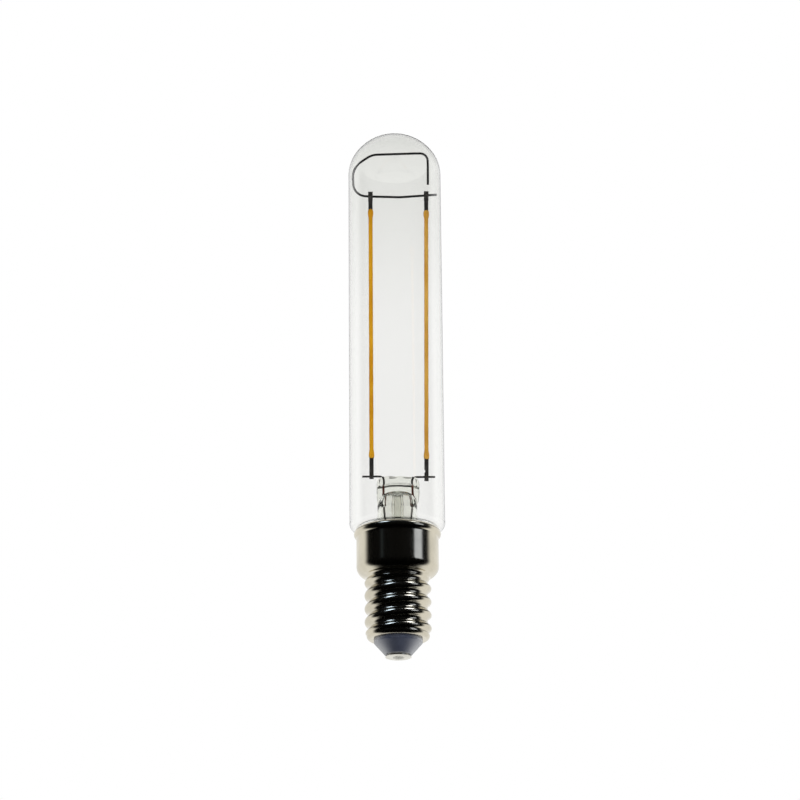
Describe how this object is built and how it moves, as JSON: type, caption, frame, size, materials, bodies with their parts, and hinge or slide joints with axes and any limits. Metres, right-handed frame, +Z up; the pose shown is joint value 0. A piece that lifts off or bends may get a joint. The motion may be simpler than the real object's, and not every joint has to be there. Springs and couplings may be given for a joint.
{
  "type": "tubular light bulb",
  "caption": "Clear tubular filament-style LED lamp with a small screw base, two amber filament strips on bent wires over a pinched glass stem.",
  "frame": {"origin": "tip of the centre contact, on the lamp's axis", "axes": "+Z up the lamp's axis to the dome, +X to the right and +Y to the back as the lamp is looked at"},
  "size_m": [0.02, 0.02, 0.1171],
  "materials": {
    "clear_glass": "gloss",
    "stem_glass": "gloss",
    "dark_wire": "satin",
    "nickel_wire": "satin",
    "seal_wire": "satin",
    "copper_wire": "satin",
    "strip_ceramic": "matte",
    "chip": "gloss",
    "phosphor_left": "satin",
    "phosphor_right": "satin",
    "tab_metal": "satin",
    "nickel_plate": "polished",
    "dark_glass": "satin",
    "contact_metal": "satin",
    "solder": "satin",
    "cement": "matte",
    "board_laminate": "satin",
    "moulding": "matte",
    "can": "satin",
    "resistor_body": "matte",
    "wire_cover": "satin"
  },
  "bodies": {
    "root": {"glass_envelope": "clear_glass", "stem_glass": "stem_glass", "exhaust_tube": "stem_glass", "support_wire": "dark_wire", "upper_lead_left": "nickel_wire", "upper_lead_right": "nickel_wire", "seal_wire_left": "seal_wire", "seal_wire_right": "seal_wire", "lower_lead_left": "copper_wire", "lower_lead_right": "copper_wire", "filament_strip_left": "strip_ceramic", "filament_strip_right": "strip_ceramic", "led_chips_left": "chip", "led_chips_right": "chip", "phosphor_coat_left": "phosphor_left", "phosphor_coat_right": "phosphor_right", "filament_tab_lower_left": "tab_metal", "filament_tab_upper_left": "tab_metal", "filament_tab_lower_right": "tab_metal", "filament_tab_upper_right": "tab_metal", "screw_shell": "nickel_plate", "cap_insulator": "dark_glass", "contact_plate": "contact_metal", "contact_solder": "solder", "basing_cement": "cement", "driver_board": "board_laminate", "bridge_rectifier": "moulding", "driver_chip": "moulding", "reservoir_capacitor": "can", "fusible_resistor": "resistor_body", "live_wire": "wire_cover", "neutral_wire": "wire_cover", "neutral_solder": "solder"}
  },
  "joints": []
}
